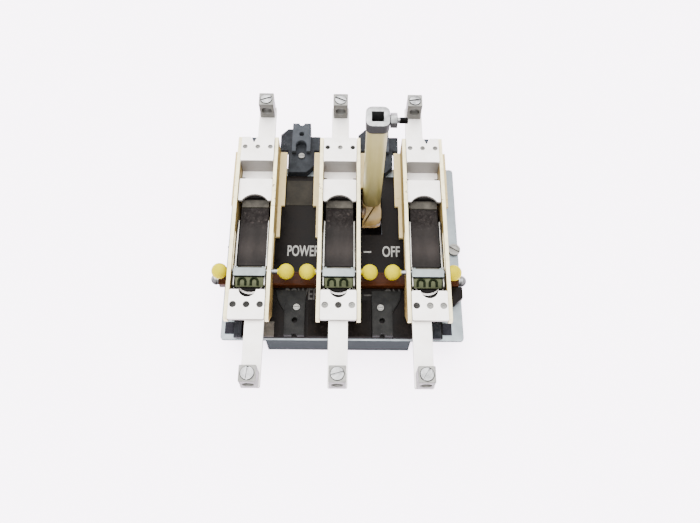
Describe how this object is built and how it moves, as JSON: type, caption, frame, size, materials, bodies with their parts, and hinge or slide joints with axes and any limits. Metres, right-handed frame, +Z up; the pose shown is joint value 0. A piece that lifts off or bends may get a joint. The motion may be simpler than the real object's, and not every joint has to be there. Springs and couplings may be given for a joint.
{
  "type": "knife blade switch",
  "caption": "Open three-pole disconnect switch on a sheet-steel base: twin sliding blades between insulating side plates, box lugs and a tall handle post.",
  "frame": {"origin": "middle of the base's underside, below the middle pole", "axes": "+X across the poles to the right, +Y from the load lugs to the line lugs, +Z up off the base"},
  "size_m": [0.225, 0.274, 0.163],
  "materials": {
    "zinc_sheet": "zinc-plated sheet steel, light blue grey",
    "black_board": "black moulded insulation",
    "red_phenolic": "red-brown phenolic bar",
    "cream_tube": "cream glass-fibre tube, slightly glossy",
    "bright_steel": "bright zinc-plated steel",
    "glass_board": "cream glass-polyester sheet with tan sawn edges",
    "tin_plate": "satin tin plate, nearly white",
    "brown_phenolic": "dark brown arc-resistant board with scorch marks",
    "dark_moulding": "dark grey moulded plastic",
    "yellow_cap": "bright yellow plastic on a steel pin",
    "blade_copper": "silver-plated copper"
  },
  "bodies": {
    "base": {"base_pan": "zinc_sheet", "legend_cover": "black_board", "handle_axle": "bright_steel", "side_plate_1_left": "glass_board", "side_plate_1_right": "glass_board", "line_terminal_1": "tin_plate", "load_terminal_1": "tin_plate", "line_bar_1": "tin_plate", "load_bar_1": "tin_plate", "arc_block_1": "brown_phenolic", "line_lug_1": "tin_plate", "load_lug_1": "tin_plate", "side_plate_2_left": "glass_board", "side_plate_2_right": "glass_board", "line_terminal_2": "tin_plate", "load_terminal_2": "tin_plate", "line_bar_2": "tin_plate", "load_bar_2": "tin_plate", "arc_block_2": "brown_phenolic", "line_lug_2": "tin_plate", "load_lug_2": "tin_plate", "side_plate_3_left": "glass_board", "side_plate_3_right": "glass_board", "line_terminal_3": "tin_plate", "load_terminal_3": "tin_plate", "line_bar_3": "tin_plate", "load_bar_3": "tin_plate", "arc_block_3": "brown_phenolic", "line_lug_3": "tin_plate", "load_lug_3": "tin_plate", "line_bracket_left": "dark_moulding", "load_bracket_left": "dark_moulding", "line_bracket_right": "dark_moulding", "load_bracket_right": "dark_moulding"},
    "blade_carriage": {"crossbar": "red_phenolic", "slide_shoe": "black_board", "blade_1_left": "blade_copper", "blade_1_right": "blade_copper", "blade_yoke_1": "zinc_sheet", "blade_pin_1": "yellow_cap", "blade_2_left": "blade_copper", "blade_2_right": "blade_copper", "blade_yoke_2": "zinc_sheet", "blade_pin_2": "yellow_cap", "blade_3_left": "blade_copper", "blade_3_right": "blade_copper", "blade_yoke_3": "zinc_sheet", "blade_pin_3": "yellow_cap"},
    "handle": {"handle_yoke": "cream_tube", "handle_post": "cream_tube", "handle_collar": "bright_steel"},
    "clamp_screw": {"handle_clamp_screw": "bright_steel"},
    "line_screw_1": {"line_lug_screw_1": "bright_steel"},
    "load_screw_1": {"load_lug_screw_1": "bright_steel"},
    "line_screw_2": {"line_lug_screw_2": "bright_steel"},
    "load_screw_2": {"load_lug_screw_2": "bright_steel"},
    "line_screw_3": {"line_lug_screw_3": "bright_steel"},
    "load_screw_3": {"load_lug_screw_3": "bright_steel"}
  },
  "joints": [
    {"name": "handle_swing", "type": "hinge", "parent": "base", "child": "handle", "pos_m": [0.0295, 0.048, 0.014], "axis": [1, 0, 0], "range_deg": [0, 30]},
    {"name": "carriage_slide", "type": "slide", "parent": "base", "child": "blade_carriage", "axis": [0, 1, 0], "range_m": [0, 0.036]},
    {"name": "clamp_screw_travel", "type": "slide", "parent": "handle", "child": "clamp_screw", "axis": [1, 0, 0], "range_m": [0, 0.004]},
    {"name": "line_screw_1_travel", "type": "slide", "parent": "base", "child": "line_screw_1", "axis": [0, 0, 1], "range_m": [-0.004, 0]},
    {"name": "load_screw_1_travel", "type": "slide", "parent": "base", "child": "load_screw_1", "axis": [0, 0, 1], "range_m": [-0.004, 0]},
    {"name": "line_screw_2_travel", "type": "slide", "parent": "base", "child": "line_screw_2", "axis": [0, 0, 1], "range_m": [-0.004, 0]},
    {"name": "load_screw_2_travel", "type": "slide", "parent": "base", "child": "load_screw_2", "axis": [0, 0, 1], "range_m": [-0.004, 0]},
    {"name": "line_screw_3_travel", "type": "slide", "parent": "base", "child": "line_screw_3", "axis": [0, 0, 1], "range_m": [-0.004, 0]},
    {"name": "load_screw_3_travel", "type": "slide", "parent": "base", "child": "load_screw_3", "axis": [0, 0, 1], "range_m": [-0.004, 0]}
  ],
  "couplings": [
    {"joint": "carriage_slide", "follows": "handle_swing", "m_per_rad": 0.0687}
  ]
}
